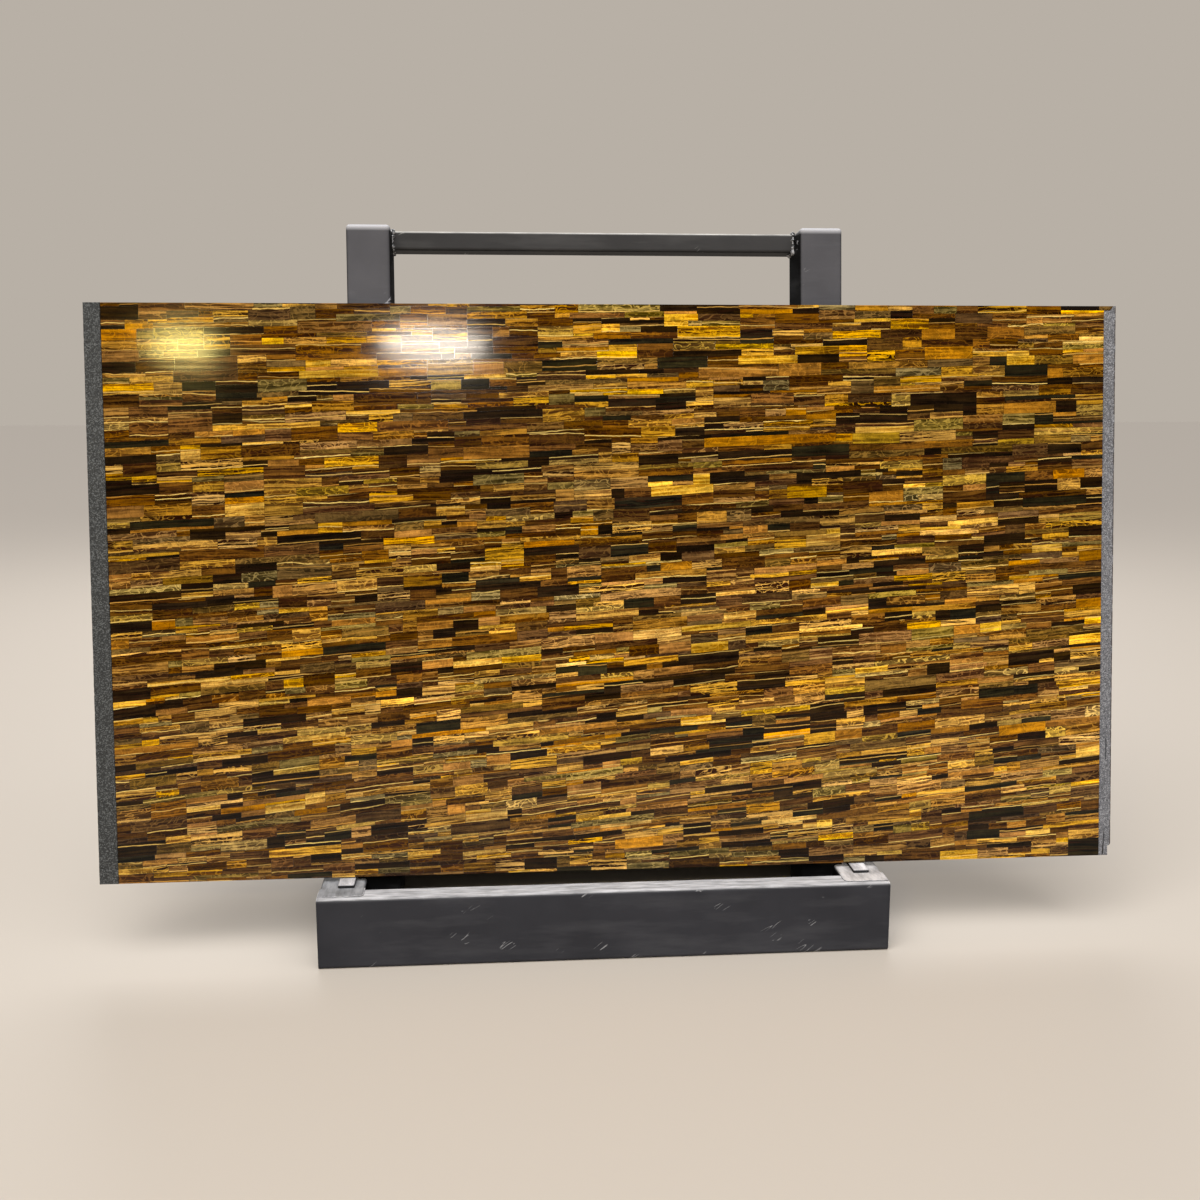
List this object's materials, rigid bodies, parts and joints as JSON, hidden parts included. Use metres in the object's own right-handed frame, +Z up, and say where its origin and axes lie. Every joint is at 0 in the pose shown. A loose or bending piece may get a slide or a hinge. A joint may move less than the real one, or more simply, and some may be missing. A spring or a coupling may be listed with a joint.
{
  "type": "tiger's-eye mosaic stone slab on a steel display rack",
  "caption": "Polished gold tiger's-eye mosaic slab with granite end strips, leaning on a welded steel rack with a low box base, posts and a top bar.",
  "frame": {"origin": "on the floor, under the middle of the whole object's box", "axes": "+X to the right along the slab, +Y from the slab's polished face to the rack's rear, +Z up"},
  "size_m": [2.4, 0.64, 1.671],
  "materials": {
    "tigers_eye": "mosaic of golden tiger's-eye bricks set in dark resin and polished to a mirror",
    "grey_granite": "sawn dark grey granite with a fine light speckle",
    "light_granite": "sawn lighter grey granite with a fine speckle",
    "base_paint": "dark grey paint, scuffed pale on its upper faces",
    "post_paint": "mid grey paint with small scuffs",
    "bar_paint": "dark grey paint",
    "worn_steel": "pale grey paint worn smooth by the slabs"
  },
  "bodies": {
    "root": {"tigers_eye_panel": "tigers_eye", "granite_strip_left": "grey_granite", "granite_strip_left_foot": "grey_granite", "granite_strip_right": "light_granite", "base_front_beam": "base_paint", "base_front_beam_cap_left": "base_paint", "base_front_beam_cap_right": "base_paint", "base_rear_beam": "base_paint", "base_rear_beam_cap_left": "base_paint", "base_rear_beam_cap_right": "base_paint", "base_rail_left": "base_paint", "base_rail_right": "base_paint", "rest_bar_left": "worn_steel", "rest_bar_right": "worn_steel", "post_left": "post_paint", "post_right": "post_paint", "top_bar": "bar_paint", "brace_left": "bar_paint", "brace_right": "bar_paint"}
  },
  "joints": []
}
